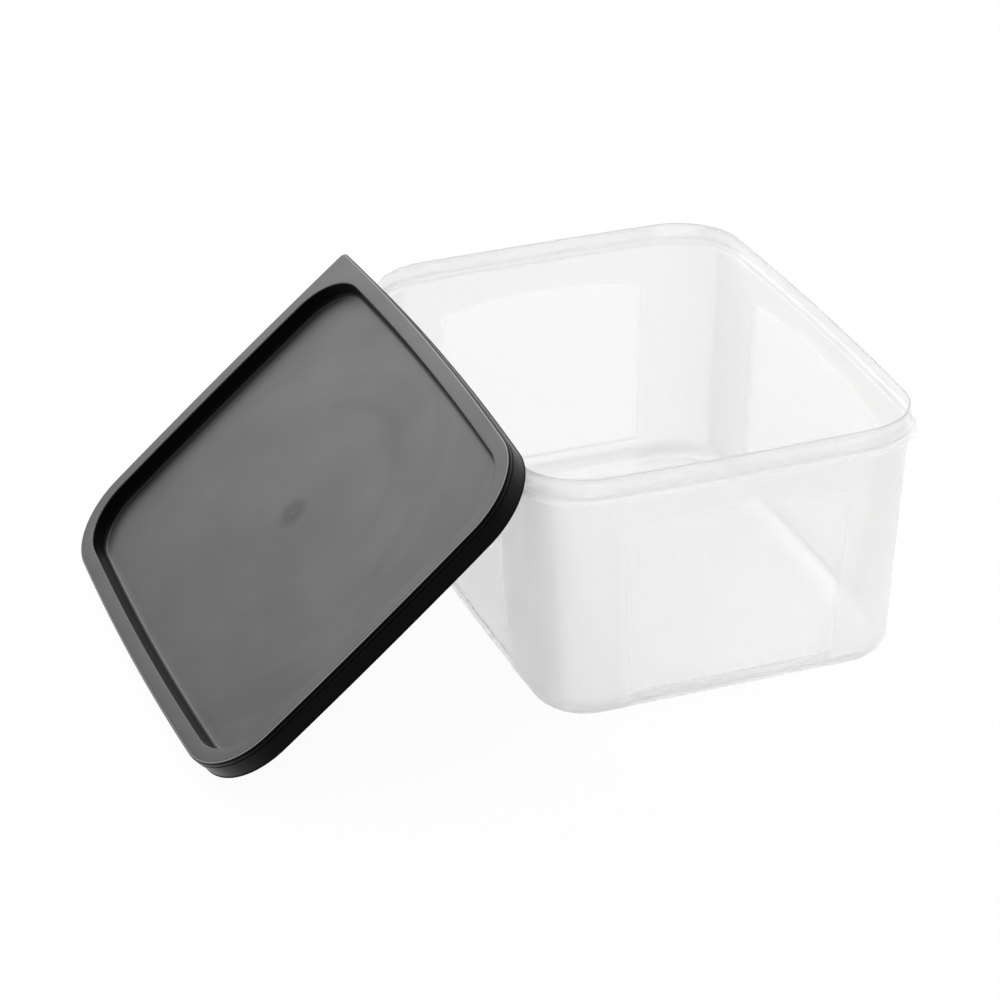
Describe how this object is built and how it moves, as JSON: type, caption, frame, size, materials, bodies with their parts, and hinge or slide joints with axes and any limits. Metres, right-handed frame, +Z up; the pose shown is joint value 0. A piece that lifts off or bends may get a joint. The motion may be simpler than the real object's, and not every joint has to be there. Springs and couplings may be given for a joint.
{
  "type": "rectangular food container",
  "caption": "Rectangular see-through food tub with rounded corners, a stepped rim and recessed window panels, with its dark press-on lid leaning against one side.",
  "frame": {"origin": "middle of the underside of the tub's flat base", "axes": "+Z up out of the tub's mouth, -Y towards the front short wall, -X towards the side that the lid leans on"},
  "size_m": [0.3273, 0.2455, 0.129],
  "materials": {
    "frosted_polypropylene": "frosted, see-through, polished clear on the four window panels",
    "black_polypropylene": "fine satin"
  },
  "bodies": {
    "tub_body": {"tub": "frosted_polypropylene"},
    "lid_body": {"lid": "black_polypropylene"}
  },
  "joints": [
    {"name": "lid_lift", "type": "slide", "parent": "tub_body", "child": "lid_body", "axis": [0, 0, 1], "range_m": [0, 0.14]}
  ]
}
